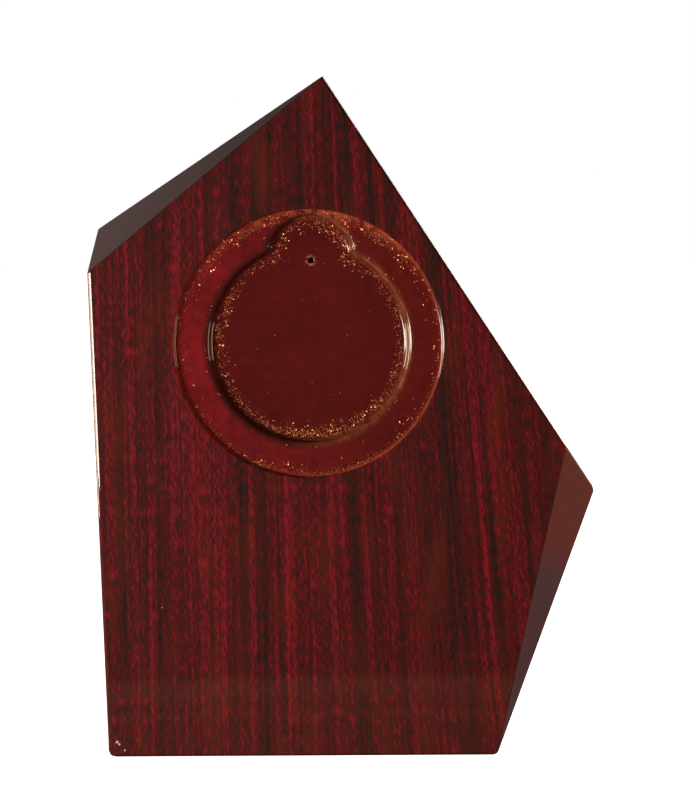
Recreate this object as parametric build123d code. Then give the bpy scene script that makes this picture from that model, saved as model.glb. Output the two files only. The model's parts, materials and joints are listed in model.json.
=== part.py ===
"""A free-standing award plaque: a five-sided board with two sloping bevels and a stepped medal recess.

A board is cut to the outline, bevelled and covered on every face with thin rosewood sheets.
The recess is milled last, through the front sheet and into the board.

The origin is the middle of the base, +Z is up and the front faces -Y.
"""

import os

from build123d import *

# The whole plaque, in millimetres.
HEIGHT = 178.0
THICKNESS = 25.0
SHEET = 0.8

# Corners of the outline as (x, z). The shoulders are the corners of the back face.
APEX = (-4.1, HEIGHT)
LEFT_SHOULDER = (-66.65, 139.3)
BASE_LEFT = (-63.2, 0.0)
BASE_RIGHT = (39.3, 0.0)
RIGHT_SHOULDER = (66.95, 67.5)

# Height at which each bevel starts on the front face. Each one reaches a shoulder at the back.
LEFT_BEVEL_Z = 127.7
RIGHT_BEVEL_Z = 81.4

# How far each corner and edge is sanded round.
APEX_ROUND = 0.3
SHOULDER_ROUND = 1.0
BASE_LEFT_ROUND = 2.0
BASE_RIGHT_ROUND = 1.8
EDGE_ROUND = 1.0
BEVEL_ROUND = 0.5

# The recess: a wide shallow step for a 70 mm disc, then a deeper one for a 50 mm medal.
RECESS_X = -8.8
RECESS_Z = 108.8
STEP_RADIUS = 35.0
STEP_DEPTH = 2.0
STEP_RIM_ROUND = 0.4
STEP_FLOOR_ROUND = 0.4
WELL_RADIUS = 26.0
WELL_DEPTH = 3.0
WELL_RIM_ROUND = 1.0
WELL_FLOOR_ROUND = 1.2

# The notch in the well's top, which clears the loop of a hanging medal. The cut is turned a little to the right.
NOTCH_RADIUS = 11.0
NOTCH_RISE = 22.4
NOTCH_TURN = 1.8
NECK_ROUND = 3.0
PIN_HOLE_RADIUS = 0.7
PIN_HOLE_DEPTH = 6.0
PIN_HOLE_RISE = 21.6

FRONT_Y = -THICKNESS / 2
BACK_Y = THICKNESS / 2
STEP_Y = FRONT_Y + STEP_DEPTH
WELL_Y = STEP_Y + WELL_DEPTH
FAR = 3 * HEIGHT
NEAR_CORNER = 3.0


def point_at_height(start, end, z):
    """The point at height z on the line from start to end."""
    share = (z - start[1]) / (end[1] - start[1])
    return (start[0] + share * (end[0] - start[0]), z)


LEFT_BEVEL_FOOT = point_at_height(BASE_LEFT, LEFT_SHOULDER, LEFT_BEVEL_Z)
RIGHT_BEVEL_TOP = point_at_height(APEX, RIGHT_SHOULDER, RIGHT_BEVEL_Z)


def on_front(corner):
    return Vector(corner[0], FRONT_Y, corner[1])


def on_back(corner):
    return Vector(corner[0], BACK_Y, corner[1])


def facing_out(first, second, third):
    """The plane through three points, with its normal pointing away from the board."""
    middle = Vector(0, 0, HEIGHT / 2)
    normal = (second - first).cross(third - first).normalized()
    if normal.dot(middle - first) > 0:
        normal = -normal
    return Plane(origin=first, x_dir=(second - first).normalized(), z_dir=normal)


def side(start, end):
    """The plane of the upright side that runs from one corner of the outline to the next."""
    return facing_out(on_front(start), on_back(start), on_back(end))


def beyond(plane, inset=0.0):
    """A block that holds everything outside a plane, and a layer this deep inside it."""
    block = Box(FAR, FAR, FAR, align=(Align.CENTER, Align.CENTER, Align.MIN))
    return plane.offset(-inset) * block


# Every face of the board, from the sheet that is laid last to the one that is laid first.
LEFT_BEVEL = facing_out(on_front(APEX), on_front(LEFT_BEVEL_FOOT), on_back(LEFT_SHOULDER))
RIGHT_BEVEL = facing_out(on_front(BASE_RIGHT), on_front(RIGHT_BEVEL_TOP), on_back(RIGHT_SHOULDER))
SHEETS = {
    "front_veneer": Plane(origin=(0, FRONT_Y, 0), x_dir=(1, 0, 0), z_dir=(0, -1, 0)),
    "back_veneer": Plane(origin=(0, BACK_Y, 0), x_dir=(1, 0, 0), z_dir=(0, 1, 0)),
    "upper_left_bevel_veneer": LEFT_BEVEL,
    "lower_right_bevel_veneer": RIGHT_BEVEL,
    "left_edge_veneer": side(BASE_LEFT, LEFT_SHOULDER),
    "upper_right_edge_veneer": side(APEX, RIGHT_SHOULDER),
    "upper_left_edge_veneer": side(LEFT_SHOULDER, APEX),
    "lower_right_edge_veneer": side(RIGHT_SHOULDER, BASE_RIGHT),
    "base_edge_veneer": side(BASE_LEFT, BASE_RIGHT),
}

# Where a bevel meets an upright side the corner is so shallow that the two sheets are mitred.
MITRES = {
    "upper_left_bevel_veneer": "upper_left_edge_veneer",
    "lower_right_bevel_veneer": "lower_right_edge_veneer",
}


def mitre(bevel, upright):
    """The plane that halves the corner between a bevel and the upright side that it runs into."""
    return Plane(origin=bevel.origin, z_dir=upright.z_dir - bevel.z_dir)


def rounded_corner(solid, corner, radius):
    """Rounds the upright edge at one corner of the outline."""
    target = Vector(corner[0], 0, corner[1])
    upright = solid.edges().filter_by(Axis.Y)
    return fillet([e for e in upright if (e.center() - target).length < NEAR_CORNER], radius)


def rounded_bevel_line(solid, bevel):
    """Softens the line where a bevel meets the front face."""
    front = SHEETS["front_veneer"]
    along = [
        e
        for e in solid.edges()
        if abs(bevel.to_local_coords(e.center()).Z) < 0.01
        and abs(front.to_local_coords(e.center()).Z) < 0.01
        and e.geom_type == GeomType.LINE
    ]
    return fillet(along, BEVEL_ROUND)


def make_board():
    """The plaque as one piece, before it is split into its sheets and its core."""
    with BuildSketch(Plane.XZ) as outline:
        with BuildLine():
            Polyline(APEX, LEFT_SHOULDER, BASE_LEFT, BASE_RIGHT, RIGHT_SHOULDER, close=True)
        make_face()
    board = extrude(outline.sketch, amount=THICKNESS / 2, both=True)
    board = rounded_corner(board, APEX, APEX_ROUND)
    board = rounded_corner(board, LEFT_SHOULDER, SHOULDER_ROUND)
    board = rounded_corner(board, RIGHT_SHOULDER, SHOULDER_ROUND)
    board = rounded_corner(board, BASE_LEFT, BASE_LEFT_ROUND)
    board = rounded_corner(board, BASE_RIGHT, BASE_RIGHT_ROUND)
    board = fillet(board.faces().filter_by(Axis.Y).edges(), EDGE_ROUND)
    board -= beyond(LEFT_BEVEL)
    board -= beyond(RIGHT_BEVEL)
    board = rounded_bevel_line(board, LEFT_BEVEL)
    return rounded_bevel_line(board, RIGHT_BEVEL)


def make_step():
    """The cutter for the wide, shallow step of the recess."""
    plane = Plane(origin=(RECESS_X, STEP_Y, RECESS_Z), x_dir=(1, 0, 0), z_dir=(0, -1, 0))
    cylinder = Cylinder(STEP_RADIUS, 2 * STEP_DEPTH, align=(Align.CENTER, Align.CENTER, Align.MIN))
    cylinder = fillet(cylinder.edges().group_by(Axis.Z)[0], STEP_FLOOR_ROUND)
    return plane * cylinder


def make_well():
    """The cutter for the medal's well, with the notch for its loop."""
    plane = Plane(origin=(RECESS_X, WELL_Y, RECESS_Z), x_dir=(1, 0, 0), z_dir=(0, -1, 0))
    upward = (Align.CENTER, Align.CENTER, Align.MIN)
    cutter = Cylinder(WELL_RADIUS, 2 * WELL_DEPTH, align=upward)
    cutter += Pos(0, NOTCH_RISE, 0) * Cylinder(NOTCH_RADIUS, 2 * WELL_DEPTH, align=upward)
    necks = cutter.edges().filter_by(Axis.Z).group_by(Axis.Y)[-1]
    cutter = fillet(necks, NECK_ROUND)
    cutter = fillet(cutter.edges().group_by(Axis.Z)[0], WELL_FLOOR_ROUND)
    return plane * (Rot(0, 0, -NOTCH_TURN) * cutter)


def make_pin_hole():
    """The cutter for the blind hole that takes the pin of a hanging medal."""
    plane = Plane(origin=(RECESS_X, WELL_Y, RECESS_Z), x_dir=(1, 0, 0), z_dir=(0, -1, 0))
    downward = (Align.CENTER, Align.CENTER, Align.MAX)
    cylinder = Cylinder(PIN_HOLE_RADIUS, PIN_HOLE_DEPTH, align=downward)
    return plane * (Rot(0, 0, -NOTCH_TURN) * Pos(0, PIN_HOLE_RISE, 0) * cylinder)


def edges_on_level(solid, y, reach):
    """The curved edges that lie at one depth, within reach of the recess's axis."""
    axis = Vector(RECESS_X, y, RECESS_Z)
    return [
        e
        for e in solid.edges()
        if e.geom_type != GeomType.LINE
        and all(abs(v.Y - y) < 0.001 for v in e.vertices())
        and abs(e.center().Y - y) < 0.001
        and all((Vector(v) - axis).length < reach for v in e.vertices())
    ]


def make_parts():
    """Peels the sheets off the board one by one; what is left is the core."""
    core = make_board()
    parts = {}
    for name, plane in SHEETS.items():
        layer = beyond(plane, SHEET)
        if name in MITRES:
            layer -= beyond(mitre(plane, SHEETS[MITRES[name]]))
        parts[name] = core & layer
        core -= layer

    front = parts["front_veneer"] - make_step()
    rim = edges_on_level(front, FRONT_Y, STEP_RADIUS + 0.1)
    parts["front_veneer"] = fillet(rim, STEP_RIM_ROUND)

    core = core - make_step() - make_well()
    rim = edges_on_level(core, STEP_Y, STEP_RADIUS - STEP_FLOOR_ROUND - 0.1)
    core = fillet(rim, WELL_RIM_ROUND)
    parts["core_board"] = core - make_pin_hole()
    return parts


def main():
    os.makedirs("parts", exist_ok=True)
    for name, part in make_parts().items():
        solids = part.solids()
        print(f"{name}: {len(solids)} solid, {part.volume:.1f} mm3, valid {part.is_valid}")
        export_step(solids[0], os.path.join("parts", name + ".step"))


main()
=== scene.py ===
# %% [markdown]
# # A rosewood award plaque
#
# The real object is a thick board with five sides. It is covered all round with thin rosewood sheets, its
# corners are sanded soft, and clear lacquer is poured over it until it shines like a piano. A round stepped
# recess in the front, painted dark red and flecked with gold, waits for a medal.
#
# This lesson loads the plain engineering model, reads sizes from it, and rebuilds each sheet with smooth
# rounded corners. Then it makes the finishes from nothing but mathematics, and lights the plaque.

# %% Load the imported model
import json
import math
from itertools import combinations

import bmesh
import bpy
import numpy as np
from mathutils import Matrix, Vector


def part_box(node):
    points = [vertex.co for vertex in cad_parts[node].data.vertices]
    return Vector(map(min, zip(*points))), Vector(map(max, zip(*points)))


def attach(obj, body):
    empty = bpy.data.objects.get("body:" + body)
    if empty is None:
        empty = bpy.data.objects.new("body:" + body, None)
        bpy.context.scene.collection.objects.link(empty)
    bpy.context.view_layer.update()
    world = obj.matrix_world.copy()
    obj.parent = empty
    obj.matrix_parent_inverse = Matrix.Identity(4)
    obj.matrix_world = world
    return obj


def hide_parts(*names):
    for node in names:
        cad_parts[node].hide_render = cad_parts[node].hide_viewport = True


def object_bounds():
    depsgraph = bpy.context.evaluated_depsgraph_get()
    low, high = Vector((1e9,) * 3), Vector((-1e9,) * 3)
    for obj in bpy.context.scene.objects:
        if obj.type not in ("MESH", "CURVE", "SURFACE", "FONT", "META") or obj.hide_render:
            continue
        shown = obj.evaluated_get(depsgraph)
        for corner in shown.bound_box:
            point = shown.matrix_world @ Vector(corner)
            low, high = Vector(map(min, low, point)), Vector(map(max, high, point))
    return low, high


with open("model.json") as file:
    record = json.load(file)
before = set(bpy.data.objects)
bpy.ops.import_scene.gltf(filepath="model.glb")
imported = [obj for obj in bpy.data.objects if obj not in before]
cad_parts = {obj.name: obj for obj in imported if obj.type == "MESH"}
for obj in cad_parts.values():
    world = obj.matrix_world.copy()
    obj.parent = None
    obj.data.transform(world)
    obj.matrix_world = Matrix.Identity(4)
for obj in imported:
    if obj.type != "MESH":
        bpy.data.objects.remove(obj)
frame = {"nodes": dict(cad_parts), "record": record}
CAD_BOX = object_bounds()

MM = 0.001
print("the model is", [round(v / MM, 1) for v in CAD_BOX[1] - CAD_BOX[0]], "mm")

# %% [markdown]
# ## Reading the sheets' planes
#
# Every sheet has one large flat face on the outside of the plaque. Its plane says everything about where
# that sheet is: the corners of the whole board are simply the points where three planes meet. The planes
# could be typed in as numbers, but then they would drift away from the engineering model when it changes.
# So they are measured: faces that look the same way are added up, and the largest group wins.

# %% Measure the plane of each sheet
SHEETS = [name for name in frame["nodes"] if name.endswith("_veneer")]
MIDDLE = (CAD_BOX[0] + CAD_BOX[1]) / 2


def outer_plane(name):
    """The outward normal and the distance from the origin of a sheet's large outer face."""
    mesh = frame["nodes"][name].data
    groups = {}
    for face in mesh.polygons:
        if face.normal.dot(face.center - MIDDLE) > 0:
            key = tuple(round(v, 3) for v in face.normal)
            groups[key] = groups.get(key, Vector()) + face.normal * face.area
    normal = max(groups.values(), key=lambda total: total.length).normalized()
    return normal, max(normal.dot(v.co) for v in mesh.vertices)


PLANES = {name: outer_plane(name) for name in SHEETS}
for name, (normal, distance) in PLANES.items():
    print(f"{name}: faces {[round(v, 2) for v in normal]}, {distance / MM:.2f} mm out")


def meet(*names, inset=0.0):
    """The point where three sheets' planes meet, each first moved inwards by inset."""
    normals = Matrix([PLANES[n][0] for n in names])
    return normals.inverted() @ Vector([PLANES[n][1] - inset for n in names])


# %% [markdown]
# ## The rounded block
#
# Lacquer shines most on rounded corners, so their curves have to be clean. The block could be carved from a
# box with booleans, but a shape with only flat sides is easier to write down as a list of corners and
# faces. A Bevel modifier then sands the edges. The upright corners of the base are the softest, and the
# sharp points are hardly touched.

# %% Name the corners and the faces of the block
FRONT, BACK = "front_veneer", "back_veneer"
LEFT, BASE = "left_edge_veneer", "base_edge_veneer"
UPPER_RIGHT = "upper_right_edge_veneer"
UPPER_LEFT, UPPER_BEVEL = "upper_left_edge_veneer", "upper_left_bevel_veneer"
LOWER_RIGHT, LOWER_BEVEL = "lower_right_edge_veneer", "lower_right_bevel_veneer"

CORNERS = {
    "apex_front": meet(FRONT, UPPER_BEVEL, UPPER_RIGHT),
    "apex_back": meet(BACK, UPPER_LEFT, UPPER_RIGHT),
    "left_front": meet(FRONT, UPPER_BEVEL, LEFT),
    "left_back": meet(BACK, UPPER_LEFT, LEFT),
    "foot_left_front": meet(FRONT, LEFT, BASE),
    "foot_left_back": meet(BACK, LEFT, BASE),
    "foot_right_front": meet(FRONT, LOWER_BEVEL, BASE),
    "foot_right_back": meet(BACK, LOWER_RIGHT, BASE),
    "right_front": meet(FRONT, LOWER_BEVEL, UPPER_RIGHT),
    "right_back": meet(BACK, LOWER_RIGHT, UPPER_RIGHT),
}
FACES = {
    FRONT: ["apex_front", "right_front", "foot_right_front", "foot_left_front", "left_front"],
    BACK: ["apex_back", "left_back", "foot_left_back", "foot_right_back", "right_back"],
    LEFT: ["foot_left_front", "foot_left_back", "left_back", "left_front"],
    BASE: ["foot_left_front", "foot_right_front", "foot_right_back", "foot_left_back"],
    UPPER_RIGHT: ["apex_front", "apex_back", "right_back", "right_front"],
    UPPER_LEFT: ["apex_front", "left_back", "apex_back"],
    UPPER_BEVEL: ["apex_front", "left_front", "left_back"],
    LOWER_RIGHT: ["foot_right_front", "right_back", "foot_right_back"],
    LOWER_BEVEL: ["foot_right_front", "right_front", "right_back"],
}
print(len(CORNERS), "corners and", len(FACES), "faces")

# %% [markdown]
# Sandpaper takes more off some edges than off others. Each radius here belongs to the two corners at the
# ends of its edge, and an edge that isn't listed gets the usual one.

# %% How softly each edge is sanded
EDGE_ROUND = 1.0 * MM
BEVEL_ROUND = 0.6 * MM
POINT_ROUND = 0.3 * MM
SHOULDER_ROUND = 1.6 * MM
FOOT_ROUND = 2.0 * MM
ROUND_STEPS = 6
SOFTER = {
    ("apex_front", "left_front"): BEVEL_ROUND,
    ("foot_right_front", "right_front"): 0.8 * BEVEL_ROUND,
    ("apex_front", "apex_back"): POINT_ROUND,
    ("apex_front", "left_back"): POINT_ROUND,
    ("foot_right_front", "right_back"): POINT_ROUND,
    ("left_front", "left_back"): BEVEL_ROUND,
    ("right_front", "right_back"): SHOULDER_ROUND,
    ("foot_left_front", "foot_left_back"): FOOT_ROUND,
    ("foot_right_front", "foot_right_back"): 0.9 * FOOT_ROUND,
}
print(len(SOFTER), "edges have a radius of their own")

# %% [markdown]
# `link` puts a new object into the scene. `baked` gives the mesh that an object's modifiers make, so that
# later steps work on plain data.


# %% Two helpers for objects
def link(obj):
    bpy.context.scene.collection.objects.link(obj)
    return obj


def baked(obj):
    """The mesh that an object's modifiers make, as plain data."""
    graph = bpy.context.evaluated_depsgraph_get()
    return bpy.data.meshes.new_from_object(obj.evaluated_get(graph), depsgraph=graph)


# %% [markdown]
# The Bevel modifier cuts each edge as wide as its weight times one width. A round of a given radius is
# wider on a sharp edge than on a shallow one, by the tangent of half the angle between its faces. Weighted
# Normal then keeps the flat faces flat in the light, so that only the rounds shade smoothly.


# %% Build the block and round its edges
def weigh_edges(block, corner):
    """Stores each edge's radius as a bevel weight, where FOOT_ROUND is the full width."""
    weight = block.edges.layers.float.new("bevel_weight_edge")
    radii = {frozenset(corner[name] for name in pair): r for pair, r in SOFTER.items()}
    for edge in block.edges:
        radius = radii.get(frozenset(edge.verts), EDGE_ROUND)
        edge[weight] = radius * math.tan(edge.calc_face_angle() / 2) / FOOT_ROUND


def sharp_block():
    """The plaque with sharp edges. A face's material index says which sheet it belongs to."""
    block = bmesh.new()
    corner = {name: block.verts.new(place) for name, place in CORNERS.items()}
    for index, sheet in enumerate(SHEETS):
        face = block.faces.new([corner[name] for name in FACES[sheet]])
        face.material_index = index
        face.normal_update()
        if face.normal.dot(PLANES[sheet][0]) < 0:
            face.normal_flip()
    weigh_edges(block, corner)
    mesh = bpy.data.meshes.new("block")
    block.to_mesh(mesh)
    block.free()
    mesh.shade_smooth()
    return mesh


def rounded_block():
    """The whole plaque as one closed mesh with rounded edges."""
    obj = link(bpy.data.objects.new("block", sharp_block()))
    bevel = obj.modifiers.new("sanding", "BEVEL")
    bevel.limit_method = "WEIGHT"
    bevel.width = FOOT_ROUND
    bevel.segments = ROUND_STEPS
    bevel.use_clamp_overlap = False
    weighted = obj.modifiers.new("flat faces stay flat", "WEIGHTED_NORMAL")
    weighted.weight = 100
    rounded = baked(obj)
    bpy.data.objects.remove(obj)
    return rounded


BLOCK = rounded_block()
print(len(BLOCK.polygons), "faces on the rounded block")

# %% [markdown]
# ## A mesh builder that keeps its normals
#
# A normal says which way a surface faces, and on a mirror finish a wrong one shows at once. Blender can
# guess normals from the faces, but where two separate sheets share a rounded corner each would guess
# differently and the shine would break at the seam. So this small builder takes the true normal with every
# corner it is given, and hands them all to the mesh at the end.


# %% The mesh builder
class Shell:
    """Collects faces with a normal at each of their corners, and joins corners at the same place."""

    SAME_PLACE = 1e-7

    def __init__(self):
        self.places = []
        self.index = {}
        self.faces = []
        self.normals = []

    def corner(self, place):
        key = tuple(round(v / self.SAME_PLACE) for v in place)
        if key not in self.index:
            self.index[key] = len(self.places)
            self.places.append(tuple(place))
        return self.index[key]

    def add(self, places, normals=None):
        """Adds one face. Without normals it is flat. A corner that repeats its neighbour is dropped."""
        ring = []
        for number, place in enumerate(places):
            corner = self.corner(place)
            if all(corner != kept for kept, _ in ring):
                ring.append((corner, number))
        if len(ring) < 3:
            return
        if normals is None:
            flat = face_normal([self.places[c] for c, _ in ring])
            normals = [flat] * len(places)
        self.faces.append([c for c, _ in ring])
        self.normals.append([tuple(normals[number]) for _, number in ring])

    def face_outward(self):
        """Reverses every face that looks into the body, together with its normals."""
        body = bmesh.new()
        corners = [body.verts.new(place) for place in self.places]
        for face in self.faces:
            body.faces.new([corners[c] for c in face])
        body.verts.index_update()
        bmesh.ops.recalc_face_normals(body, faces=body.faces[:])
        for face, ring, normals in zip(body.faces, self.faces, self.normals):
            order = [v.index for v in face.verts]
            if order[order.index(ring[0]) - 1] == ring[1]:
                ring.reverse()
                normals.reverse()
        body.free()

    def piece(self, name):
        """The finished object, with the normals that were given."""
        self.face_outward()
        mesh = bpy.data.meshes.new(name)
        mesh.from_pydata(self.places, [], self.faces)
        mesh.shade_smooth()
        mesh.normals_split_custom_set([normal for face in self.normals for normal in face])
        mesh.validate()
        return link(bpy.data.objects.new(name, mesh))


def face_normal(places):
    """The normal of a flat outline, by Newell's sum, which also holds for a dented outline."""
    total = Vector()
    for here, there in zip(places, places[1:] + places[:1]):
        total += Vector(here).cross(Vector(there))
    return total.normalized()


# %% [markdown]
# ## Cutting the block into sheets
#
# Each sheet takes its own part of the block's skin, and gets a back and side walls so that it is a real,
# closed sheet. Where sheets share a corner they are mitred, as in a picture frame, so it helps to know
# which sheets touch each corner of the skin.

# %% Thickness of the sheets, and who touches what
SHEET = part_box(BASE)[1].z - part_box(BASE)[0].z


def sheets_at_corners():
    """For each vertex of the block, the sheets whose skin touches it."""
    touching = {}
    for face in BLOCK.polygons:
        for vertex in face.vertices:
            touching.setdefault(vertex, set()).add(SHEETS[face.material_index])
    return touching


TOUCHING = sheets_at_corners()
print(f"a sheet is {SHEET / MM:.2f} mm thick, and the skin has {len(TOUCHING)} corners")

# %% [markdown]
# The inner planes enclose the core board, and its corners are where three of them meet. A skin corner's
# partner on the inner side comes from a least-squares solve: the nearest point on the inner planes of all
# the sheets that touch it. Near a sharp corner that point overshoots, and the inner outline would fold over
# itself, so the nearest corner of the core takes its place.


# %% Inner corners
TOLERANCE = 1e-7
PARALLEL = 1e-3


def depth(name, place):
    """How far a point lies below the inner plane of a sheet."""
    return PLANES[name][1] - SHEET - PLANES[name][0].dot(place)


def find_core_corners():
    """The points where three inner planes meet, kept where they lie inside all the others."""
    found = []
    for names in combinations(SHEETS, 3):
        if abs(Matrix([PLANES[n][0] for n in names]).determinant()) > PARALLEL:
            corner = meet(*names, inset=SHEET)
            if all(depth(n, corner) > -TOLERANCE for n in SHEETS):
                found.append(corner)
    return found


CORE_CORNERS = find_core_corners()
print("the core has", len(CORE_CORNERS), "corners")


def inner_corner(vertex, sheet):
    """Where a skin vertex's partner lies on the inner side of the sheet."""
    place = BLOCK.vertices[vertex].co
    names = sorted(TOUCHING[vertex] | {sheet})
    rows = np.array([PLANES[n][0] for n in names])
    gaps = np.array([depth(n, place) for n in names])
    inner = place + Vector(np.linalg.lstsq(rows, gaps, rcond=None)[0])
    if min(depth(n, inner) for n in SHEETS) > -TOLERANCE and abs(depth(sheet, inner)) < TOLERANCE:
        return inner
    own = [corner for corner in CORE_CORNERS if abs(depth(sheet, corner)) < TOLERANCE]
    return min(own, key=lambda corner: (corner - place).length).copy()


# %% [markdown]
# A sheet is its skin, a wall all round and a flat back. The skin's outline is made of the sides that only
# one of its faces uses. Solidify could thicken the skin too, but it moves each corner along its own normal,
# so that neighbouring sheets would overlap or gape.


# %% Make the plain sheets
def rim_loop(faces):
    """The outline of the skin, as vertices in order, with the skin on its left."""
    sides = []
    for face in faces:
        ring = list(face.vertices)
        sides += zip(ring, ring[1:] + ring[:1])
    following = {a: b for a, b in sides if (b, a) not in sides}
    start = next(iter(following))
    loop = [start]
    while following[loop[-1]] != start:
        loop.append(following[loop[-1]])
    return loop


def skin_of(sheet):
    return [f for f in BLOCK.polygons if SHEETS[f.material_index] == sheet]


def add_skin(shell, faces):
    for face in faces:
        places = [BLOCK.vertices[v].co for v in face.vertices]
        shell.add(places, [BLOCK.corner_normals[i].vector for i in face.loop_indices])


def add_walls(shell, loop, sheet):
    """The side walls from the skin's outline down to the inner plane. Returns the inner outline."""
    inner = [inner_corner(v, sheet) for v in loop]
    outer = [BLOCK.vertices[v].co for v in loop]
    for i in range(len(loop)):
        j = (i + 1) % len(loop)
        shell.add([outer[j], outer[i], inner[i], inner[j]])
    return inner


def plain_sheet(sheet):
    """A closed sheet with no hole in it."""
    shell = Shell()
    faces = skin_of(sheet)
    add_skin(shell, faces)
    inner = add_walls(shell, rim_loop(faces), sheet)
    shell.add(list(reversed(inner)))
    return shell.piece("rosewood_" + sheet.replace("_veneer", ""))


SHEET_PIECES = {sheet: plain_sheet(sheet) for sheet in SHEETS if sheet != FRONT}
print(len(SHEET_PIECES), "plain sheets")

# %% [markdown]
# ## The recess
#
# A router cuts the recess in two passes: a wide shallow step, then a deeper well with a notch at the top
# for the medal's loop. The well's outline is a chain of four arcs. Moving an arc outwards only changes its
# radius, so the rounded rim, the wall and the rounded floor are one outline at different offsets and
# depths. A lathe could not make the notch, and a boolean would leave a ragged mesh along the rim.

# %% Sizes of the recess, from the model's mounts
MOUNTS = {mount["name"]: mount for mount in frame["record"]["mounts"]}
STEP_RADIUS = MOUNTS["disc_step"]["dims"]["r_mm"] * MM
WELL_RADIUS = MOUNTS["medal_well"]["dims"]["r_mm"] * MM
PIN_RADIUS = MOUNTS["pin_hole"]["dims"]["r_mm"] * MM
CENTRE = Vector(MOUNTS["medal_well"]["pos_m"])
TO_PIN = Vector(MOUNTS["pin_hole"]["pos_m"]) - CENTRE
PIN_RISE = math.hypot(TO_PIN.x, TO_PIN.z)
NOTCH_TURN = math.atan2(TO_PIN.x, TO_PIN.z)
FRONT_Y = CAD_BOX[0].y
STEP_RIM = 0.4 * MM
STEP_FLOOR_ROUND = 0.4 * MM
STEP_DEPTH = MOUNTS["disc_step"]["dims"]["length_mm"] * MM + STEP_RIM + STEP_FLOOR_ROUND
WELL_RIM = 1.0 * MM
WELL_FLOOR_ROUND = 1.2 * MM
WELL_DEPTH = MOUNTS["medal_well"]["dims"]["length_mm"] * MM + WELL_RIM + WELL_FLOOR_ROUND
NOTCH_RADIUS = 11.0 * MM
NOTCH_RISE = 22.4 * MM
NECK_RADIUS = 3.0 * MM
STEP_Y = FRONT_Y + STEP_DEPTH
WELL_Y = STEP_Y + WELL_DEPTH
print(f"step {STEP_DEPTH / MM:.1f} mm deep, well {WELL_DEPTH / MM:.1f} mm deeper")

# %% [markdown]
# The outlines are drawn flat first, as points that each know which way is outward. The step is a circle.
# The well is a large circle and a small one, joined on both sides by a neck that curves the other way. A
# neck touches both circles, so its centre is a known distance from each, and two right-angled triangles
# give its place.


# %% Outlines at any offset
def bearing(angle):
    return Vector((math.cos(angle), math.sin(angle)))


def arc(centre, radius, start, end, steps):
    """Points along an arc, each with the direction away from the centre. The last point is left out."""
    angles = [start + (end - start) * i / steps for i in range(steps)]
    return [(Vector(centre) + radius * bearing(a), bearing(a)) for a in angles]


def step_outline(offset):
    """The step's circle moved outwards by offset, counter-clockwise from the top."""
    return arc((0, 0), STEP_RADIUS + offset, math.pi / 2, math.pi / 2 + math.tau, 240)


def well_outline(offset):
    """The well's outline moved outwards by offset, counter-clockwise from the top of the notch."""
    reach_well = WELL_RADIUS + NECK_RADIUS
    reach_notch = NOTCH_RADIUS + NECK_RADIUS
    rise = (reach_well**2 + NOTCH_RISE**2 - reach_notch**2) / (2 * NOTCH_RISE)
    across = math.sqrt(reach_well**2 - rise**2)
    to_notch = math.atan2(rise - NOTCH_RISE, -across) % math.tau
    to_well = math.atan2(rise, -across)
    well, notch, neck = WELL_RADIUS + offset, NOTCH_RADIUS + offset, NECK_RADIUS - offset
    chain = arc((0, NOTCH_RISE), notch, math.pi / 2, to_notch, 40)
    neck_arc = arc((-across, rise), neck, to_notch - math.pi, to_well - math.pi, 20)
    chain += [(p, -towards_neck) for p, towards_neck in neck_arc]
    chain += arc((0, 0), well, to_well, 3 * math.pi / 2, 100)
    bottom = [(Vector((0, -well)), Vector((0, -1)))]
    mirrored = [(Vector((-p.x, p.y)), Vector((-d.x, d.y))) for p, d in reversed(chain[1:])]
    return chain + bottom + mirrored


def turned(vector):
    """A vector of the recess's drawing, turned so that the notch points where it was cut."""
    sine, cosine = math.sin(NOTCH_TURN), math.cos(NOTCH_TURN)
    return Vector((vector.x * cosine + vector.y * sine, vector.y * cosine - vector.x * sine))


def in_place(point, y):
    """A point of the recess's drawing, put into the plaque at one depth."""
    point = turned(point)
    return Vector((CENTRE.x + point.x, y, CENTRE.z + point.y))


print(len(step_outline(0)), "points round the step and", len(well_outline(0)), "round the well")

# %% [markdown]
# A rounded rim or floor is a quarter circle in section. Each step of a section says how far out the outline
# is moved, how deep it lies, and how much the surface faces forward there. Faces between two steps form a
# band. What is left over is flat, and is filled with triangles.


# %% Bands that follow an outline
def quarter_rim(radius, depth, steps=6):
    """Section of a rounded outer rim: from the flat above it, down to the wall. Forwardness falls to 0."""
    turns = [math.pi / 2 * i / steps for i in range(steps + 1)]
    return [(radius * (1 - math.sin(t)), depth + radius * (1 - math.cos(t)), math.cos(t)) for t in turns]


def quarter_floor(radius, depth, steps=6):
    """Section of a rounded floor: from the wall down to the flat bottom. Forwardness rises to 1."""
    turns = [math.pi / 2 * i / steps for i in range(steps + 1)]
    return [(-radius * (1 - math.cos(t)), depth - radius * (1 - math.sin(t)), math.sin(t)) for t in turns]


def add_bands(shell, outline, section):
    """Skins an outline along a section. Walls face the axis of the recess, flats face forward."""
    rows = []
    for offset, y, forward in section:
        inward = math.sqrt(max(0.0, 1 - forward**2))
        row = []
        for point, out in outline(offset):
            out = turned(out) * inward
            row.append((in_place(point, y), Vector((-out.x, -forward, -out.y))))
        rows.append(row)
    for upper, lower in zip(rows, rows[1:]):
        for i in range(len(upper)):
            j = (i + 1) % len(upper)
            ring = [upper[i], upper[j], lower[j], lower[i]]
            shell.add([p for p, _ in ring], [n for _, n in ring])
    return [p for p, _ in rows[0]], [p for p, _ in rows[-1]]


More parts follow.
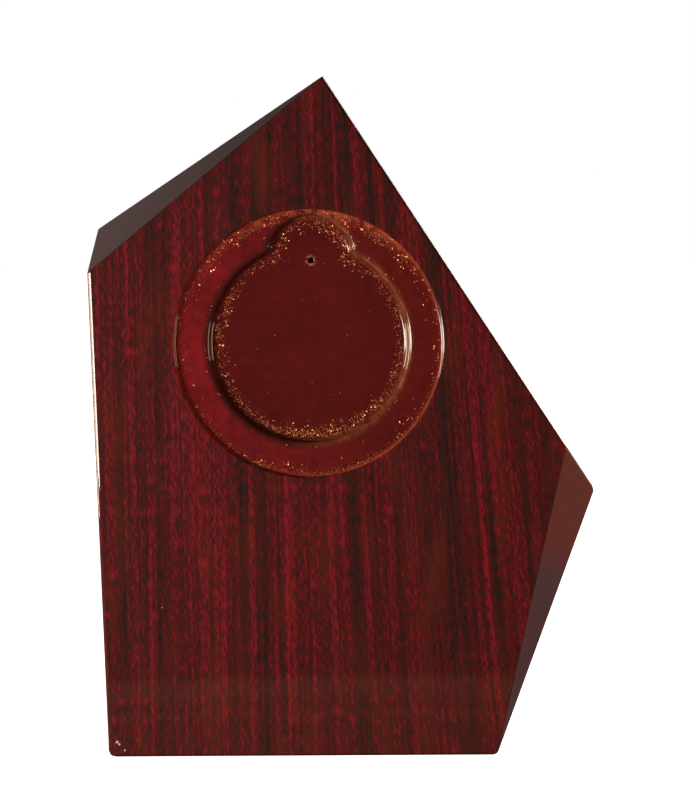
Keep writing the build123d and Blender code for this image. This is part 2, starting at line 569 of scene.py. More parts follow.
def add_flat(shell, loops, normal):
    """Fills the flat area between loops of points, and gives it one normal."""
    flat = bmesh.new()
    for loop in loops:
        corners = [flat.verts.new(p) for p in loop]
        for here, there in zip(corners, corners[1:] + corners[:1]):
            flat.edges.new((here, there))
    bmesh.ops.triangle_fill(flat, use_beauty=True, edges=flat.edges[:])
    for face in flat.faces:
        shell.add([v.co.copy() for v in face.verts], [normal] * len(face.verts))
    flat.free()


# %% [markdown]
# ## The front sheet
#
# The front sheet is made like the others, but its large face is cut out and filled again around the hole.
# The hole's rim is eased by hand, so it catches a thin line of light. A boolean could cut the hole, but it
# would lose the normals that make the rounded corners shine cleanly.

# %% Make the front sheet
TOWARDS_FRONT = Vector((0, -1, 0))


def front_sheet():
    shell = Shell()
    faces = skin_of(FRONT)
    flat = max(faces, key=lambda face: face.area)
    add_skin(shell, [face for face in faces if face is not flat])
    inner_y = FRONT_Y + SHEET
    section = quarter_rim(STEP_RIM, FRONT_Y) + [(0.0, inner_y, 0.0)]
    rim, foot = add_bands(shell, step_outline, section)
    outline = [BLOCK.vertices[v].co.copy() for v in flat.vertices]
    add_flat(shell, [outline, rim], TOWARDS_FRONT)
    inner = add_walls(shell, rim_loop(faces), FRONT)
    unique = [p for p, q in zip(inner, inner[1:] + inner[:1]) if (p - q).length > Shell.SAME_PLACE]
    add_flat(shell, [unique, foot], -TOWARDS_FRONT)
    return shell.piece("rosewood_front")


SHEET_PIECES[FRONT] = front_sheet()
print("front sheet:", len(SHEET_PIECES[FRONT].data.polygons), "faces")

# %% [markdown]
# ## The core board
#
# The core fills the space inside the sheets. A convex hull turns its corners into a closed body, and its
# front face is then opened and joined to the bands of the recess. The pin hole is drilled last, and its
# mouth is eased a little, so that the paint doesn't flake there.

# %% Make the core board
PIN_EASE = 0.25 * MM
FLATNESS = 0.001


def core_hull():
    """The core before the recess is cut, as a bmesh with flat, dissolved faces."""
    hull = bmesh.new()
    for corner in CORE_CORNERS:
        hull.verts.new(corner)
    bmesh.ops.remove_doubles(hull, verts=hull.verts[:], dist=1e-6)
    bmesh.ops.convex_hull(hull, input=hull.verts[:])
    bmesh.ops.dissolve_limit(hull, angle_limit=FLATNESS, verts=hull.verts[:], edges=hull.edges[:])
    hull.normal_update()
    return hull


def add_pin_hole(shell):
    """The blind hole for the medal's pin. Returns its mouth."""
    bottom_y = WELL_Y + MOUNTS["pin_hole"]["dims"]["length_mm"] * MM

    def outline(offset):
        return arc((0, PIN_RISE), PIN_RADIUS + offset, 0, math.tau, 24)

    section = quarter_rim(PIN_EASE, WELL_Y, steps=4) + [(0.0, bottom_y, 0.0)]
    mouth, bottom = add_bands(shell, outline, section)
    add_flat(shell, [bottom], TOWARDS_FRONT)
    return mouth


def core_board():
    shell = Shell()
    hull = core_hull()
    for face in hull.faces:
        if face.normal.dot(TOWARDS_FRONT) < 1 - FLATNESS:
            shell.add([v.co.copy() for v in face.verts])
        else:
            outline = [v.co.copy() for v in face.verts]
    hull.free()
    section = [(0.0, FRONT_Y + SHEET, 0.0)] + quarter_floor(STEP_FLOOR_ROUND, STEP_Y)
    mouth, step_inner = add_bands(shell, step_outline, section)
    add_flat(shell, [outline, mouth], TOWARDS_FRONT)
    section = quarter_rim(WELL_RIM, STEP_Y) + quarter_floor(WELL_FLOOR_ROUND, WELL_Y)
    rim, floor = add_bands(shell, well_outline, section)
    add_flat(shell, [step_inner, rim], TOWARDS_FRONT)
    add_flat(shell, [floor, add_pin_hole(shell)], TOWARDS_FRONT)
    return shell.piece("recess_board")


CORE = core_board()
print("core:", len(CORE.data.polygons), "faces")

# %% [markdown]
# ## Node webs as Python
#
# A procedural finish is a web of small nodes. Wiring them one by one is hard to read, so two helpers come
# first. `Wire` wraps one output socket, so that `a * 2 + 1` adds the Math nodes by itself, and `1 - a`
# works too. The same helpers serve for materials, for the studio's surroundings and for Geometry Nodes.


# %% Values that flow along wires
class Wire:
    """One value that flows through a node tree. Python's operators add Math nodes to the tree."""

    def __init__(self, net, socket):
        self.net = net
        self.socket = socket

    def __add__(self, other):
        return self.net.maths("ADD", self, other)

    def __radd__(self, other):
        return self.net.maths("ADD", other, self)

    def __sub__(self, other):
        return self.net.maths("SUBTRACT", self, other)

    def __rsub__(self, other):
        return self.net.maths("SUBTRACT", other, self)

    def __mul__(self, other):
        return self.net.maths("MULTIPLY", self, other)

    def __rmul__(self, other):
        return self.net.maths("MULTIPLY", other, self)

    def __truediv__(self, other):
        return self.net.maths("DIVIDE", self, other)

    def clamped(self):
        return self.net.maths("ADD", self, 0.0, clamp=True)

    def above(self, low, high):
        """0 below low, 1 above high, and a straight ramp between."""
        return ((self - low) / (high - low)).clamped()

    def near(self, value, reach):
        """1 at a value, falling to 0 at this distance from it."""
        return (1 - self.net.maths("ABSOLUTE", self - value) / reach).clamped()


# %% [markdown]
# `Net` is a node tree under construction. Its method `node` adds any node from its type, its settings and
# its inputs. Settings go first, because some of them change which sockets a node has. The other methods are
# short names for nodes that are used often. Colours go through Mix and directions through Vector Math,
# since a Math node would turn a colour grey.


# %% Node trees under construction
class Net:
    """A node tree that is being built."""

    def __init__(self, tree):
        self.tree = tree
        tree.nodes.clear()

    def feed(self, socket, value):
        if isinstance(value, Wire):
            self.tree.links.new(value.socket, socket)
        else:
            socket.default_value = value

    def node(self, kind, settings=None, output=0, **inputs):
        """Adds a node. An input goes by its name, with _ for a space, or by its number, as in i0."""
        node = self.tree.nodes.new(kind)
        for key, value in (settings or {}).items():
            setattr(node, key, value)
        for key, value in inputs.items():
            number = key[1:]
            socket = node.inputs[int(number)] if number.isdigit() else node.inputs[key.replace("_", " ")]
            self.feed(socket, value)
        return Wire(self, node.outputs[output]) if node.outputs else node

    def maths(self, operation, *values, clamp=False):
        inputs = {f"i{number}": value for number, value in enumerate(values)}
        return self.node("ShaderNodeMath", {"operation": operation, "use_clamp": clamp}, **inputs)

    def greatest(self, first, *others):
        for other in others:
            first = self.maths("MAXIMUM", first, other)
        return first

    def length(self, x, y):
        return self.maths("SQRT", x * x + y * y)

    def dot(self, vector, direction):
        settings = {"operation": "DOT_PRODUCT"}
        return self.node("ShaderNodeVectorMath", settings, "Value", i0=vector, i1=direction)

    def vector(self, x, y, z=0.0):
        return self.node("ShaderNodeCombineXYZ", X=x, Y=y, Z=z)

    def noise(self, vector, detail=2.0, rough=0.5, scale=1.0):
        """Noise as a wave about 0 that mostly stays between -1 and 1."""
        inputs = {"Vector": vector, "Scale": scale, "Detail": detail, "Roughness": rough}
        return (self.node("ShaderNodeTexNoise", **inputs) - 0.5) * 4

    def mix(self, amount, low, high):
        """One colour at 0 and another at 1."""
        return self.node("ShaderNodeMix", {"data_type": "RGBA"}, 2, i0=amount, i6=low, i7=high)


# %% [markdown]
# A material is a node tree that ends in one Principled shader. Patterns are laid out in the piece's own
# coordinates, so they stay put when the piece moves. Colours are easiest to choose as screen values from 0
# to 255, and `tint` turns them into the linear light that shaders use. The lacquer is the shader's coat:
# almost perfectly smooth, over wood that is quite dull.


# %% Materials
class Finish(Net):
    """A material that is being built."""

    def __init__(self, name):
        self.material = bpy.data.materials.new(name)
        self.material.use_nodes = True
        super().__init__(self.material.node_tree)

    def place(self):
        return self.node("ShaderNodeTexCoord", output="Object")

    def bump(self, height, strength, distance):
        return self.node("ShaderNodeBump", Strength=strength, Distance=distance, Height=height)

    def surface(self, colour, roughness, **more):
        """Ends the material with one Principled shader."""
        shader = self.node("ShaderNodeBsdfPrincipled", Base_Color=colour, Roughness=roughness, **more)
        self.node("ShaderNodeOutputMaterial", Surface=shader)
        return self.material


def tint(red, green, blue):
    """A colour from its screen values of 0 to 255, as the linear light that shaders use."""
    parts = [v / 255 for v in (red, green, blue)]
    return (*[v / 12.92 if v <= 0.04045 else ((v + 0.055) / 1.055) ** 2.4 for v in parts], 1.0)


LACQUER = {"Coat_Weight": 1.0, "Coat_Roughness": 0.02, "Coat_IOR": 1.5, "Specular_IOR_Level": 0.04}
print("lacquer:", LACQUER)

# %% [markdown]
# ## Rosewood
#
# The sheets are sliced rosewood: long dark pores run up the board, crimson wood shows between them, and
# short slanting flecks cross the streaks where the grain interlocks. Each of these is noise stretched along
# the grain. The numbers in FIGURE say how fast one changes per millimetre across the grain and along it,
# and which slice of the noise it uses, so that no two look alike.

# %% The figure of the wood
FIGURE = {
    "wander": (0.3, 0.2, 3.0),
    "streak": (1.1, 0.010, 7.0),
    "broad": (0.30, 0.005, 13.0),
    "falling": (1.35, 0.36, 21.0),
    "rising": (1.35, 0.36, 31.0),
    "dashes": (1.8, 0.2, 43.0),
    "patch": (0.16, 0.03, 57.0),
}
print("the grain is made of", ", ".join(FIGURE))


def figure(wood, kind, side, up, detail=1.0, rough=0.5):
    across, along, part = FIGURE[kind]
    return wood.noise(wood.vector(side * across, up * along, part), detail, rough)


def grain_lines(wood, side, up):
    """Long streaks and short flecks, added up to one wave about 0, and the darkest pores."""
    side = side + figure(wood, "wander", side, up) * 0.17
    streak = figure(wood, "streak", side, up, rough=0.6)
    broad = figure(wood, "broad", side, up)
    falling = figure(wood, "falling", side + up * 0.35, up)
    rising = figure(wood, "rising", side - up * 0.30, up)
    wave = streak * 1.1 + broad * 1.0 + falling * 0.95 + rising * 0.85
    dashes = figure(wood, "dashes", side + falling * 0.3, up, detail=2.0)
    return wave, dashes.above(0.15, 0.95)


# %% [markdown]
# Lacquer is brittle, and a knock takes small chips out of it that show pale. The pale spots here are partly
# such chips and partly painted glints on the edges. A spot is round, and its edge is made ragged with fine
# noise. Where spots overlap, the greatest of them counts.


# %% Chips and painted glints in the lacquer
def chip_and_glint_mask(wood, side, up, chips_and_glints):
    """1 on a pale spot, partly a lacquer chip and partly a painted glint. Each spot is (side, up, radius)
    in millimetres.
    """
    ragged = wood.noise(wood.vector(side, up), scale=2.5) * 0.45
    spots = [1.2 - wood.length(side - x, up - z) / radius + ragged for x, z, radius in chips_and_glints]
    return wood.greatest(*spots).above(0.35, 0.55)


# %% [markdown]
# The recipe measures along the grain and across it, so it serves a sheet that lies at any angle. Low on the
# board the grain leans, the more so to the right. The wave chooses between a dark, a red and a crimson
# wood. It also lifts the surface very slightly, and makes crimson wood a little shinier than dark, because
# pores drink up the first coats of lacquer.

# %% The rosewood recipe
DARK_WOOD = tint(33, 24, 21)
RED_WOOD = tint(77, 20, 22)
CRIMSON_WOOD = tint(138, 26, 40)
PORE = tint(33, 30, 25)
ORANGE_WOOD = tint(108, 40, 24)
# Pale cream for the spots on the edges: lacquer chips, partly painted glints.
CHIP_AND_GLINT = tint(214, 196, 176)
MIDDLE_SHADE = 0.48


def rosewood(name, along, outward, contrast=1.0, stain=None, stain_and_light_amount=0.0, stripes=(), chips_and_glints=()):
    """Rosewood with its grain along one direction, on a sheet that faces another, partly covered by a tint:
    a brown stain, and on some sheets a pale grey-pink of painted light.
    """
    wood = Finish(name)
    along = Vector(along).normalized()
    across = along.cross(Vector(outward)).normalized()
    place = wood.place()
    up = wood.dot(place, along) / MM
    side = wood.dot(place, across) / MM
    lean = (up - 70) * side.above(-25, 45) * 0.09
    wave, pores = grain_lines(wood, side + lean, up)
    for middle, width, darkness in stripes:
        wave = wave - (side + lean).near(middle, width) * darkness
    shade = (wave * (0.235 * contrast) + 0.445).clamped()
    colour = wood.mix(shade.above(0.0, MIDDLE_SHADE), DARK_WOOD, RED_WOOD)
    colour = wood.mix(shade.above(MIDDLE_SHADE, 1.0), colour, CRIMSON_WOOD)
    patch = figure(wood, "patch", side, up)
    colour = wood.mix((patch * 0.35).clamped() * contrast, colour, ORANGE_WOOD)
    colour = wood.mix(pores * (0.8 * contrast), colour, PORE)
    # A brown stain on most sheets; on the lower right ones a pale grey-pink of painted light.
    if stain:
        colour = wood.mix(stain_and_light_amount, colour, stain)
    # Pale spots: partly lacquer chips, partly painted glints.
    if chips_and_glints:
        colour = wood.mix(chip_and_glint_mask(wood, side, up, chips_and_glints), colour, CHIP_AND_GLINT)
    relief = wood.bump(shade - pores * 0.5, 0.35, 0.04 * MM)
    return wood.surface(colour, 0.55 - shade * 0.2, Normal=relief, **LACQUER)


# %% [markdown]
# ## Finishing the sheets
#
# The front sheet gets four dark stripes of heartwood, each a (place, width, darkness), and a few pale
# spots, partly lacquer chips and partly painted glints, most of them at its lower left corner. The grain of
# the other sheets follows a long side, and most were stained brown to hide how it changes at the corners.
# The lower bevel and the lower right side get a pale grey-pink of painted light and reflection instead. The
# table gives the two corners between which the grain runs, the contrast of the grain, the tint laid over it
# and how much of it there is.

# %% Finish the sheets
HEARTWOOD = [(-48.3, 2.2, 1.1), (-21.2, 2.0, 0.8), (3.4, 3.5, 1.0), (28.1, 3.5, 0.9)]
# Pale spots on the front's edges, partly lacquer chips and partly painted glints.
CHIPS_AND_GLINTS = [
    (-60.9, 4.1, 0.42),
    (-60.3, 3.5, 0.4),
    (-58.8, 1.9, 0.25),
    (57.6, 82.3, 0.4),
    (-48.3, 39.8, 0.16),
]
BROWN = tint(34, 19, 17)
# A pale grey-pink for the lower bevel and lower right side: painted light and reflection on the side the
# lamps hardly reach.
PAINTED_LIGHT_PINK = tint(98, 47, 48)
OTHER_SHEETS = {
    LEFT: ("foot_left_back", "left_back", 1.0, None, 0.0),
    BASE: ("foot_left_back", "foot_right_back", 1.0, BROWN, 0.2),
    UPPER_RIGHT: ("right_back", "apex_back", 0.8, BROWN, 0.3),
    UPPER_LEFT: ("left_back", "apex_back", 0.8, BROWN, 0.3),
    LOWER_RIGHT: ("foot_right_back", "right_back", 0.8, PAINTED_LIGHT_PINK, 0.3),
    UPPER_BEVEL: ("left_front", "apex_front", 0.15, BROWN, 0.85),
    LOWER_BEVEL: ("foot_right_front", "right_front", 0.5, PAINTED_LIGHT_PINK, 0.5),
}
UPRIGHT = Vector((0, 0, 1))
ROSEWOOD = {
    FRONT: rosewood("rosewood_front", UPRIGHT, PLANES[FRONT][0], stripes=HEARTWOOD, chips_and_glints=CHIPS_AND_GLINTS),
    BACK: rosewood("rosewood_back", UPRIGHT, PLANES[BACK][0]),
}
for sheet, (start, end, *recipe) in OTHER_SHEETS.items():
    along = CORNERS[end] - CORNERS[start]
    name = "rosewood_" + sheet.replace("_veneer", "")
    ROSEWOOD[sheet] = rosewood(name, along, PLANES[sheet][0], *recipe)
for sheet, piece in SHEET_PIECES.items():
    piece.data.materials.append(ROSEWOOD[sheet])
print(len(ROSEWOOD), "cuts of rosewood")

# %% [markdown]
# ## The painted recess
#
# After milling, the bare board in the recess is sprayed dark red, and gold dust is rubbed on. Gold specks,
# partly painted glints, gather along the foot of each wall, and along the rims runs an orange line that is
# partly wear and partly painted highlight. In the shader, distance from the walls says where that is.


# %% How far a point is from the recess's walls
def wall_distances(net, place):
    """In millimetres: across from the axis, up from it, inside the well's wall, inside the step's wall."""
    x = net.dot(place, (1, 0, 0)) / MM - CENTRE.x / MM
    z = net.dot(place, (0, 0, 1)) / MM - CENTRE.z / MM
    notch = turned(Vector((0, NOTCH_RISE / MM)))
    to_well = WELL_RADIUS / MM - net.length(x, z)
    to_notch = NOTCH_RADIUS / MM - net.length(x - notch.x, z - notch.y)
    in_step = STEP_RADIUS / MM - net.length(x, z)
    return x, z, net.greatest(to_well, to_notch), in_step


# %% [markdown]
# The paint is brighter on the ledge than in the well, and lighter towards the left as painted light. Fine
# noise mottles it, because it was sprayed on bare board. The rim between the ledge and the well has a
# painted shadow on the left and a warm gold painted highlight on the right. Along the outer wall the paint
# turns orange: worn paint with a painted highlight on it, and a painted glow near the top.

# %% The paint, its painted light, and where it is worn
# Each pair holds the paint on the right and a lighter copy for the left, as painted light.
WELL_PAINT_SHADED_AND_LIT = (tint(90, 20, 18), tint(100, 20, 21))
LEDGE_PAINT_SHADED_AND_LIT = (tint(98, 21, 19), tint(138, 26, 34))
MOTTLED = tint(66, 15, 15)
# Painted shadow for the well's rim on the left, and a warm painted highlight for it on the right.
RIM_SHADOW_AND_HIGHLIGHT = (tint(50, 24, 20), tint(138, 76, 46))
# Orange for the step's wall: worn paint with a painted highlight, and a painted glow near the top.
WORN_AND_LIT_ORANGE = tint(152, 66, 44)


def sprayed_and_lit(paint, place, x, in_well, mottle):
    """The paint as it was sprayed, with painted light that makes it lighter towards the left."""
    # Painted light: the paint grows lighter towards the left.
    painted_light_leftward = x.above(20, -34)
    colour = paint.mix(painted_light_leftward, *WELL_PAINT_SHADED_AND_LIT)
    colour = paint.mix(in_well.above(-1.0, -2.2), colour, paint.mix(painted_light_leftward, *LEDGE_PAINT_SHADED_AND_LIT))
    cloud = paint.noise(place, scale=70.0)
    return paint.mix((cloud * 0.25 + mottle * 0.3 + 0.3).clamped(), colour, MOTTLED)


def rims_lit_and_worn(paint, colour, distances, mottle):
    """The paint with a painted shadow and highlight on the well's rim, and orange along the step's wall
    that is worn paint with a painted highlight and glow.
    """
    x, z, in_well, in_step = distances
    # Painted shadow on the left of the well's rim, painted highlight on its right.
    rim_shadow_and_highlight = paint.mix(x.above(-6, 6) * (0.55 + mottle * 0.5), *RIM_SHADOW_AND_HIGHLIGHT)
    colour = paint.mix(in_well.near(-0.2, 1.7) * (0.75 + mottle * 0.25), colour, rim_shadow_and_highlight)
    # Along the step's wall: worn paint with a painted highlight line, and a painted glow near the top.
    wall_wear_and_highlight = in_step.near(0.2, 0.9) * (0.55 + mottle * 0.3)
    painted_top_glow = in_step.near(0.6, 2.6) * z.above(14, 30) * (0.5 + mottle * 1.2)
    return paint.mix((wall_wear_and_highlight + painted_top_glow).clamped(), colour, WORN_AND_LIT_ORANGE)


# %% [markdown]
# Gold dust is too fine to model, so it is a pattern: very fine noise, cut off at a level that falls near
# the foot of each wall and lower down. These specks are partly painted glints. A pale painted glint sits on
# the left of the pin hole's mouth.

# %% Gold dust with painted glints, and the finished paint
# Gold for specks that are partly painted glints, along the foot of the walls.
DUST_AND_GLINT = tint(205, 130, 80)
# A pale painted glint for the pin hole's mouth.
PIN_GLINT = tint(206, 160, 120)


def dusted_and_glinting(paint, place, colour, distances):
    """The paint with gold specks that are partly painted glints, and a painted glint at the pin hole."""
    x, z, in_well, in_step = distances
    dust_and_glint_noise = paint.noise(place, scale=2600.0, detail=1.0)
    foot = in_well.near(2.0, 3.5) + in_step.near(1.0, 2.5) * 0.7
    # Gold specks near the foot of each wall and lower down, partly painted glints.
    gold = (dust_and_glint_noise + foot * 0.75 - 0.1 + z.above(-10, -26) * 0.25 - 1.05).above(0.0, 0.3)
    colour = paint.mix(gold * foot.clamped() * 0.8, colour, DUST_AND_GLINT)
    pin = turned(Vector((0, PIN_RISE / MM)))
    # A pale painted glint on the left of the pin hole's mouth.
    mouth = paint.length(x - pin.x, z - pin.y).near(1.1, 0.6)
    return paint.mix(mouth * dust_and_glint_noise.above(-0.1, 0.5) * x.above(4, -2), colour, PIN_GLINT)


def recess_paint():
    paint = Finish("recess_paint")
    place = paint.place()
    distances = wall_distances(paint, place)
    mottle = paint.noise(place, scale=450.0, detail=3.0)
    colour = sprayed_and_lit(paint, place, distances[0], distances[2], mottle)
    colour = rims_lit_and_worn(paint, colour, distances, mottle)
    colour = dusted_and_glinting(paint, place, colour, distances)
    bump = paint.bump(mottle, 0.15, 0.05 * MM)
    thin_lacquer = {**LACQUER, "Coat_Weight": 0.8, "Coat_Roughness": 0.05}
    return paint.surface(colour, 0.55, Normal=bump, **thin_lacquer)


CORE.data.materials.append(recess_paint())
print(len(CORE.data.materials[0].node_tree.nodes), "nodes in the paint")

# %% [markdown]
# ## Gold flakes
#
# The larger grains of gold stand up from the paint and sparkle one by one, which a flat pattern can't do.
# So they are real, tiny flakes. Their colour changes slowly from place to place, from copper to pale gold.


# %% The gold's own finish
def gold_finish():
    gold = Finish("gold_flake")
    glint = gold.noise(gold.place(), scale=900.0, detail=0.0)
    colour = gold.mix((glint * 0.8 + 0.3).clamped(), tint(150, 66, 42), tint(230, 156, 98))
    return gold.surface(colour, 0.35, Metallic=0.7)


GOLD = gold_finish()
print("finish:", GOLD.name)

# %% [markdown]
# The wall distances that place the dust also say how likely a flake is: most at the foot of the well's
# wall, on the left and at the bottom, then along the top of the ledge, and hardly any in the open. Slow
# noise gathers them in clumps.


# %% How likely a flake is
def flake_chance(net, place):
    x, z, in_well, in_step = wall_distances(net, place)
    left = x.near(-21, 9) * z.near(2, 18) * 1.5
    low = z.above(-12, -24) * (0.5 + x.above(-8, 8) * 0.6)
    right = x.above(16, 24) * 0.4
    high = z.above(16, 24) * (0.25 + x.above(0, 5) * 0.9)
    well_foot = in_well.near(1.6, 3.4) * (left + low + right + high + 0.12)
    ledge = in_step.near(1.0, 3.0) * (0.25 + z.above(8, 30) * 1.3) * in_well.above(-1.2, -1.6)
    clumps = net.noise(place, scale=160.0, detail=1.0)
    return (well_foot + ledge) * (0.75 + clumps * 0.9) + in_step.above(0.4, 0.8) * 0.003


# %% [markdown]
# A flake is a ball of twenty triangles, squashed thin. Its flat side is turned to the front, then tilted
# and spun at random. Squaring its random size makes most flakes small and a few large.


# %% The shape of a flake
def random_number(net, low, high, seed):
    return net.node("FunctionNodeRandomValue", {"data_type": "FLOAT"}, 1, i2=low, i3=high, Seed=seed)


def flakes_on(net, points, radius, seed):
    """A flake at each point, turned and stretched in its own way."""
    size = random_number(net, 0.35, 1.0, 5)
    size = size * size
    slim = random_number(net, 0.5, 1.0, 7)
    low, high = (-0.45, -0.45, 0.0), (0.45, 0.45, 6.28)
    tilt = net.node("FunctionNodeRandomValue", {"data_type": "FLOAT_VECTOR"}, i0=low, i1=high, Seed=seed)
    forward = net.node("FunctionNodeAlignRotationToVector", {"axis": "Z"}, Vector=TOWARDS_FRONT)
    local = {"rotation_space": "LOCAL"}
    way = net.node("FunctionNodeRotateRotation", local, Rotation=forward, Rotate_By=tilt)
    inputs = {
        "Points": points,
        "Instance": net.node("GeometryNodeMeshIcoSphere", Radius=radius, Subdivisions=1),
        "Rotation": way,
        "Scale": net.vector(size, size * slim, size * 0.22),
    }
    return net.node("GeometryNodeInstanceOnPoints", **inputs)


# %% [markdown]
# ## Scattering the flakes
#
# Geometry Nodes scatter the flakes over the recess. Scattering more points in some places than in others
# would be the obvious way, but Blender reads the density only at the corners of the mesh, and the well's
# floor is a few large triangles. So far too many points are scattered evenly, and most are wiped away again
# by chance. Realize Instances makes real faces, which an exported model needs. The seed is fixed, so the
# flakes always land in the same places.

# %% The tree that scatters flakes
GIVEN = {"Surface": "Geometry", "Density": "Float", "Radius": "Float", "Seed": "Int", "Gold": "Material"}


def flake_tree():
    tree = bpy.data.node_groups.new("gold_flakes", "GeometryNodeTree")
    for name, kind in GIVEN.items():
        tree.interface.new_socket(name, in_out="INPUT", socket_type="NodeSocket" + kind)
    tree.interface.new_socket("Flakes", in_out="OUTPUT", socket_type="NodeSocketGeometry")
    net = Net(tree)
    given = tree.nodes.new("NodeGroupInput")
    surface, density, radius, seed, gold = (Wire(net, given.outputs[name]) for name in GIVEN)

    facing = net.dot(net.node("GeometryNodeInputNormal"), TOWARDS_FRONT)
    where = {"Selection": net.maths("GREATER_THAN", facing, 0.99), "Density": density, "Seed": seed}
    points = net.node("GeometryNodeDistributePointsOnFaces", Mesh=surface, **where)
    chance = flake_chance(net, net.node("GeometryNodeInputPosition"))
    wiped = net.maths("GREATER_THAN", random_number(net, 0.0, 1.0, 11), chance)
    points = net.node("GeometryNodeDeleteGeometry", Geometry=points, Selection=wiped)
    flakes = flakes_on(net, points, radius, seed)
    solid = net.node("GeometryNodeRealizeInstances", Geometry=flakes)
    finished = net.node("GeometryNodeSetMaterial", Geometry=solid, Material=gold)
    net.node("NodeGroupOutput", Flakes=finished)
    return tree


# %% [markdown]
# The tree works on a copy of the core board. A modifier knows its inputs by identifier and not by name, so
# the names are looked up. The result is taken out as a plain mesh, and the copy is thrown away.

# %% Scatter the flakes
FLAKE_SETTINGS = {"Density": 5.0e6, "Radius": 0.38 * MM, "Seed": 4, "Gold": GOLD}


def scatter_flakes():
    surface = link(bpy.data.objects.new("surface", CORE.data.copy()))
    modifier = surface.modifiers.new("flakes", "NODES")
    modifier.node_group = flake_tree()
    for socket in modifier.node_group.interface.items_tree:
        if socket.name in FLAKE_SETTINGS:
            modifier[socket.identifier] = FLAKE_SETTINGS[socket.name]
    flakes = link(bpy.data.objects.new("gold_flakes", baked(surface)))
    bpy.data.objects.remove(surface)
    return flakes


FLAKES = scatter_flakes()
print("gold:", len(FLAKES.data.polygons) // 20, "flakes")

# %% [markdown]
# ## Handing the pieces over
#
# Each new piece takes the place of one plain piece of the engineering model. The flakes are extra, and are
# part of the paint. The whole plaque is one rigid body, so every piece rides on the same root.

# %% Hand every piece to the frame
for node, piece in {**SHEET_PIECES, "core_board": CORE}.items():
    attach(piece, "root")
    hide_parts(node)
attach(FLAKES, "root")
print(len(SHEET_PIECES) + 2, "pieces handed over")

# %% [markdown]
# ## The floor and the studio
#
# The plaque stands on a plain white floor. A mirror finish shows everything around it, so a white floor and
# white walls would wash its colour out, and a real studio holds up black cards to stop that. Here the floor
# is simply hidden from reflections.


# %% The floor
def make_floor():
    """A plain white floor, in metres, that reaches far behind the plaque."""
    mesh = bpy.data.meshes.new("floor")
    mesh.from_pydata([(-4, -4, 0), (4, -4, 0), (4, 9, 0), (-4, 9, 0)], [], [(0, 1, 2, 3)])
    floor = link(bpy.data.objects.new("floor", mesh))
    white = (1.0, 1.0, 1.0, 1.0)
    finish = Finish("pale_floor")
    mesh.materials.append(finish.surface(white, 0.9, Emission_Color=white, Emission_Strength=1.15))
    floor.visible_glossy = False
    floor.visible_diffuse = False
    floor.visible_shadow = False
    return floor


print("floor:", [round(v, 1) for v in make_floor().dimensions], "m")

# %% [markdown]
# What the lacquer mirrors is painted into the surroundings as soft patches. The upper bevel looks past the
# plaque to a grey wall. The lower one looks down to the right, at a brown screen above a grey table. The
# front mirrors the dark room behind the camera, and near its foot the brown edge of a table with a thin
# bright line along it. A patch is a cone: the dot product with its direction is 1 in its middle and falls
# off to the sides.

# %% What the lacquer mirrors
ROOM = (0.012, 0.011, 0.010, 1)
LOW_WALL, HIGH_WALL = (0.24, 0.185, 0.175, 1), (0.115, 0.11, 0.10, 1)
SIDE_TABLE, SCREEN = (0.12, 0.13, 0.14, 1), (0.34, 0.11, 0.07, 1)
TABLE_EDGE = (0.46, 0.15, 0.085, 1)
TO_WALL = Vector((-0.41, 0.76, 0.50)).normalized()
TO_SCREEN = Vector((0.68, 0.68, -0.28)).normalized()


def mirrored_room(net):
    """The colour of the surroundings in each direction."""
    way = net.node("ShaderNodeTexCoord", output="Generated")
    north, up = net.dot(way, (0, 1, 0)), net.dot(way, (0, 0, 1))
    plaster = net.mix(up.above(0.38, 0.44), LOW_WALL, HIGH_WALL)
    colour = net.mix(net.dot(way, TO_WALL).above(0.80, 0.92), ROOM, plaster)
    screen = net.mix(up.above(-0.284, -0.272), SIDE_TABLE, SCREEN)
    colour = net.mix(net.dot(way, TO_SCREEN).above(0.80, 0.90), colour, screen)
    table = north.above(-0.5, -0.7) * up.above(-0.180, -0.183)
    edge = 1 - up.above(-0.188, -0.193) * 0.5 + up.near(-0.196, 0.0016) * 0.9
    return net.mix(table * edge, colour, TABLE_EDGE)


# %% [markdown]
# The camera itself should see plain white behind the plaque. A Light Path node tells rays straight from the
# camera from rays that have met a surface, and a Mix Shader gives each its own background.


# %% The surroundings
def make_surroundings():
    world = bpy.data.worlds.new("studio")
    bpy.context.scene.world = world
    world.use_nodes = True
    net = Net(world.node_tree)
    seen = net.node("ShaderNodeBackground", Color=(1, 1, 1, 1))
    mirrored = net.node("ShaderNodeBackground", Color=mirrored_room(net))
    camera = net.node("ShaderNodeLightPath", output="Is Camera Ray")
    chosen = net.node("ShaderNodeMixShader", i0=camera, i1=mirrored, i2=seen)
    net.node("ShaderNodeOutputWorld", Surface=chosen)
    return world


print("surroundings:", make_surroundings().name)

# %% [markdown]
# ## The softboxes
#
# A narrow warm lamp close to the left draws the pale line down the left edge and picks out the walls of the
# recess. A long low one in front lights the wood from the left, so low that the front face never mirrors
# it. A weak warm one fills in from the right, and a large one behind keeps the back from going black. Each
# lamp is described by how bright its surface looks, and its power follows from its size.


# %% Set up the softboxes
LIT_POINT = Vector((0, 0, 0.1))


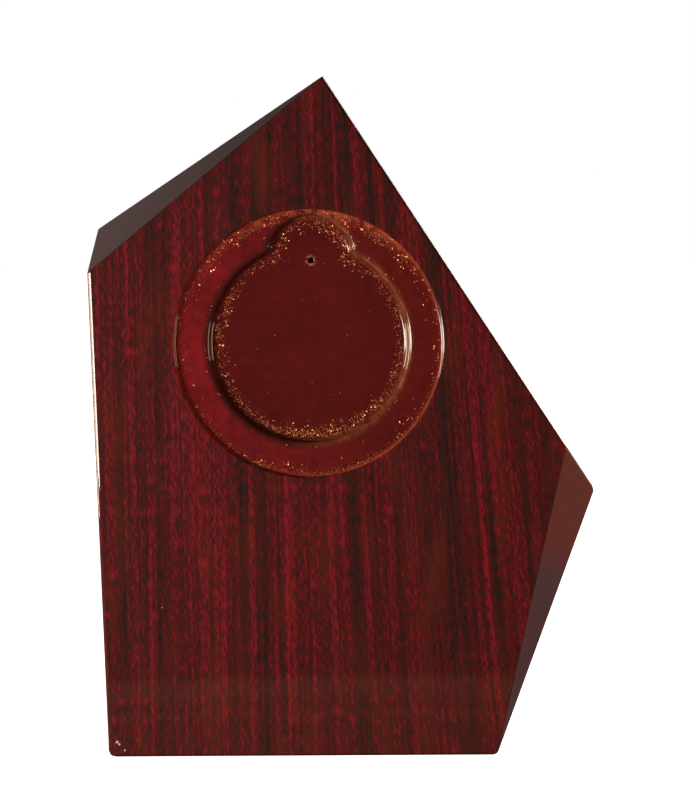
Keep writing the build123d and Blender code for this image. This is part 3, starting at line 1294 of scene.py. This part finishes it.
def softbox(name, place, width, height, radiance, colour):
    """A rectangular lamp that points at the middle of the plaque."""
    lamp = bpy.data.lights.new(name, "AREA")
    lamp.shape = "RECTANGLE"
    lamp.size = width
    lamp.size_y = height
    lamp.energy = radiance * math.pi * width * height
    lamp.color = colour
    obj = link(bpy.data.objects.new(name, lamp))
    obj.location = place
    obj.rotation_euler = (LIT_POINT - Vector(place)).to_track_quat("-Z", "Y").to_euler()
    obj.visible_camera = False
    print(f"{name}: {lamp.energy:.2f} W")


softbox("key_left", (-0.45, -0.07, 0.105), 0.09, 0.19, 36, (1.0, 0.84, 0.58))
softbox("front_left", (-0.92, -1.27, 0.0), 1.1, 0.2, 32, (1.0, 0.94, 0.84))
softbox("fill_right", (0.60, -0.17, 0.06), 0.25, 0.25, 8, (1.0, 0.66, 0.42))
softbox("back_right", (0.9, 1.3, 0.6), 0.8, 0.8, 9, (1.0, 0.96, 0.92))

# %% [markdown]
# ## The camera
#
# The camera stands a little to the right and above the middle. Three angles say how it is held: turned
# left, tilted down and rolled. Building its axes from them with cross products avoids guessing the order of
# Euler angles. A camera looks along its own -Z, with +Y up.


# %% Place the camera
def camera_turn(turn, tilt, roll):
    """The rotation of a camera that starts level, looking along +Y. Angles are in degrees."""
    turn, tilt, roll = (math.radians(angle) for angle in (turn, tilt, roll))
    level = math.cos(tilt)
    ahead = Vector((-math.sin(turn) * level, math.cos(turn) * level, -math.sin(tilt)))
    right = ahead.cross(UPRIGHT).normalized()
    above = right.cross(ahead)
    right_rolled = right * math.cos(roll) + above * math.sin(roll)
    above_rolled = above * math.cos(roll) - right * math.sin(roll)
    return Matrix((right_rolled, above_rolled, -ahead)).transposed().to_quaternion()


def make_camera():
    data = bpy.data.cameras.new("camera")
    data.sensor_width = 36
    data.lens = 109.19
    camera = link(bpy.data.objects.new("camera", data))
    camera.location = Vector((23.31, -643.05, 137.54)) * MM
    camera.rotation_mode = "QUATERNION"
    camera.rotation_quaternion = camera_turn(2.042, 3.947, -0.748)
    bpy.context.scene.camera = camera
    return camera


print("the camera is", round(make_camera().location.length, 3), "m away")
bpy.context.scene.view_settings.view_transform = "Standard"

# %% [markdown]
# ## The end
#
# The view layer is updated, so that every piece is in place. The new pieces have to
# fill the same space as the engineering model.

# %% Finish
bpy.context.view_layer.update()
